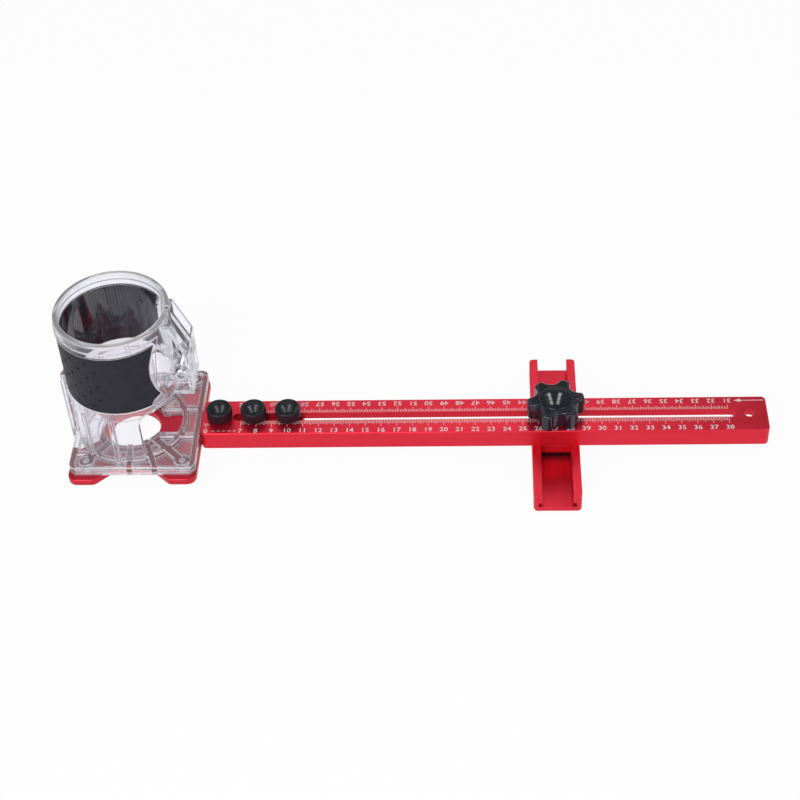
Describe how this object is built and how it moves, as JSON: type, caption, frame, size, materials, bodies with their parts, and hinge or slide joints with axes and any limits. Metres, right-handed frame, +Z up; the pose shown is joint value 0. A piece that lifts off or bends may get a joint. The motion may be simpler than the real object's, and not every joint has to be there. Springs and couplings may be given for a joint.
{
  "type": "modular router base",
  "caption": "Clear trim-router base on a red plate, with a scaled aluminium arm and a sliding cross track held by hand screws.",
  "frame": {"origin": "on the cutter's axis, in the plane of the base plate's underside", "axes": "+X along the arm away from the router base, +Y across the arm, +Z up along the cutter's axis"},
  "size_m": [0.4433, 0.1236, 0.1209],
  "materials": {
    "clear_plastic": "clear polished polycarbonate",
    "grip_rubber": "matte moulded rubber",
    "red_anodised": "satin red anodised",
    "black_steel": "black oxide",
    "zinc_steel": "zinc plated",
    "black_plastic": "glossy moulded",
    "black_cap": "glossy moulded",
    "black_anodised": "black anodised, knurled"
  },
  "bodies": {
    "base": {"base_plate": "red_anodised", "router_shell": "clear_plastic", "grip_sleeve": "grip_rubber", "arm_bar": "red_anodised", "clamp_screw": "black_steel", "clamp_nut": "zinc_steel", "plate_screw_1": "black_steel", "plate_screw_2": "black_steel", "plate_screw_3": "black_steel", "plate_screw_4": "black_steel"},
    "thumb_screw_1": {"thumb_head_1": "black_anodised", "thumb_stud_1": "zinc_steel"},
    "thumb_screw_2": {"thumb_head_2": "black_anodised", "thumb_stud_2": "zinc_steel"},
    "thumb_screw_3": {"thumb_head_3": "black_anodised", "thumb_stud_3": "zinc_steel"},
    "carriage": {"guide_block": "red_anodised", "clamp_plate": "black_steel"},
    "track": {"cross_track": "red_anodised"},
    "star": {"star_knob": "black_plastic", "star_cap": "black_cap", "star_stud": "zinc_steel"}
  },
  "joints": [
    {"name": "thumb_screw_1_turn", "type": "hinge", "parent": "base", "child": "thumb_screw_1", "pos_m": [0.0562, 0, 0.013], "axis": [0, 0, 1], "range_deg": [0, 720]},
    {"name": "thumb_screw_2_turn", "type": "hinge", "parent": "base", "child": "thumb_screw_2", "pos_m": [0.0782, 0, 0.013], "axis": [0, 0, 1], "range_deg": [0, 720]},
    {"name": "thumb_screw_3_turn", "type": "hinge", "parent": "base", "child": "thumb_screw_3", "pos_m": [0.1002, 0, 0.013], "axis": [0, 0, 1], "range_deg": [0, 720]},
    {"name": "carriage_slide", "type": "slide", "parent": "base", "child": "carriage", "axis": [1, 0, 0], "range_m": [-0.1435, 0.11]},
    {"name": "track_slide", "type": "slide", "parent": "carriage", "child": "track", "axis": [0, 1, 0], "range_m": [-0.05, 0.0435]},
    {"name": "star_knob_turn", "type": "hinge", "parent": "carriage", "child": "star", "pos_m": [0.2709, 0, 0.013], "axis": [0, 0, 1], "range_deg": [0, 720]}
  ]
}
